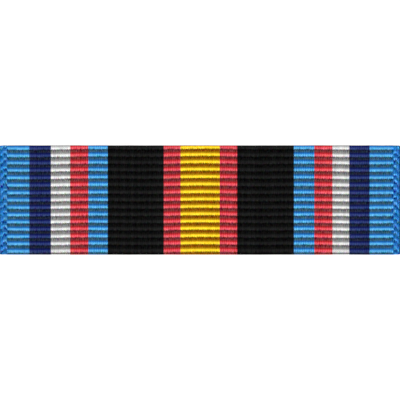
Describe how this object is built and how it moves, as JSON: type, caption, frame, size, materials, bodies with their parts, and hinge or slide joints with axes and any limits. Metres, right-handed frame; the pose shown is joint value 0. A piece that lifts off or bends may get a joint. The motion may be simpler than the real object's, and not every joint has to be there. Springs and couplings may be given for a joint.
{
  "type": "ribbon bar",
  "caption": "Striped, ribbed ribbon wound round a brass slide on a mounting bar, with posts and clutches that hold it to cloth.",
  "frame": {"origin": "under the middle of the bar, in the plane that the clutches stand on", "axes": "+X along the bar to the right of the ribbon's face, +Y to the face's upper fold, +Z out of the face"},
  "size_m": [0.035, 0.0096, 0.0087],
  "materials": {
    "ribbon": "ribbed, faintly glossy, striped",
    "slide_brass": "rolled sheet, bare",
    "bar_brass": "rolled strip, bare, dulled round the solder",
    "clutch_brass": "turned and gilt"
  },
  "bodies": {
    "root": {"ribbon": "ribbon", "slide": "slide_brass", "mounting_bar": "bar_brass", "clutch_left": "clutch_brass", "clutch_right": "clutch_brass"}
  },
  "joints": []
}
